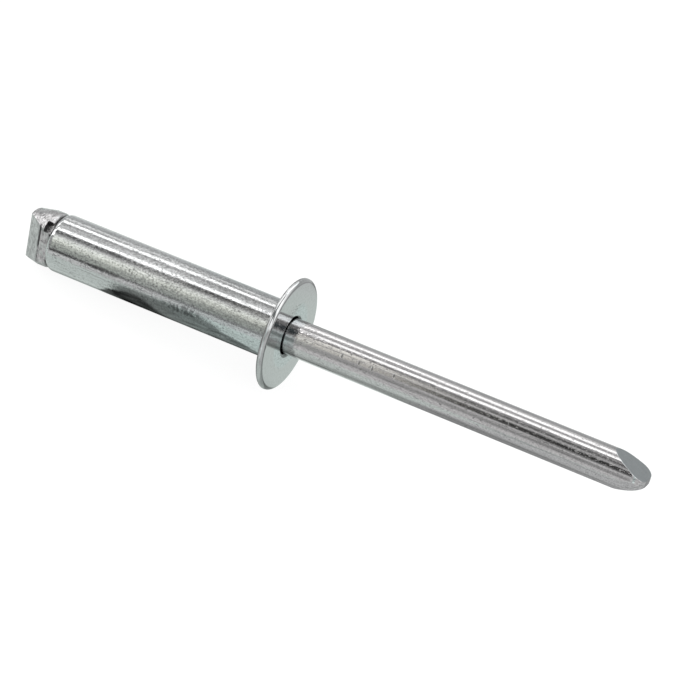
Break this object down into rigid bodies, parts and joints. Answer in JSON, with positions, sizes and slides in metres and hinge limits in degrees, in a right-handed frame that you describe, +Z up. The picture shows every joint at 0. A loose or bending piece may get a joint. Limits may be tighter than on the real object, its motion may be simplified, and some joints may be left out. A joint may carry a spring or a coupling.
{
  "type": "pop rivet",
  "caption": "Open-end blind rivet as supplied: a flanged steel tube on its break mandrel, whose nipped head flares the blind end when the stem is pulled.",
  "frame": {"origin": "on the floor, below the middle of the rivet's length and on its axis of symmetry seen from above", "axes": "+X along the floor towards the cropped tip of the mandrel, +Y to the left of that, +Z up as the rivet rests on its side"},
  "size_m": [0.0538, 0.0092, 0.0092],
  "materials": {
    "rivet_body": "bright zinc plating, slightly scuffed",
    "mandrel": "bright zinc plating over drawn wire, with fine lines along it"
  },
  "bodies": {
    "root": {"rivet_body": "rivet_body", "mandrel": "mandrel"}
  },
  "joints": []
}
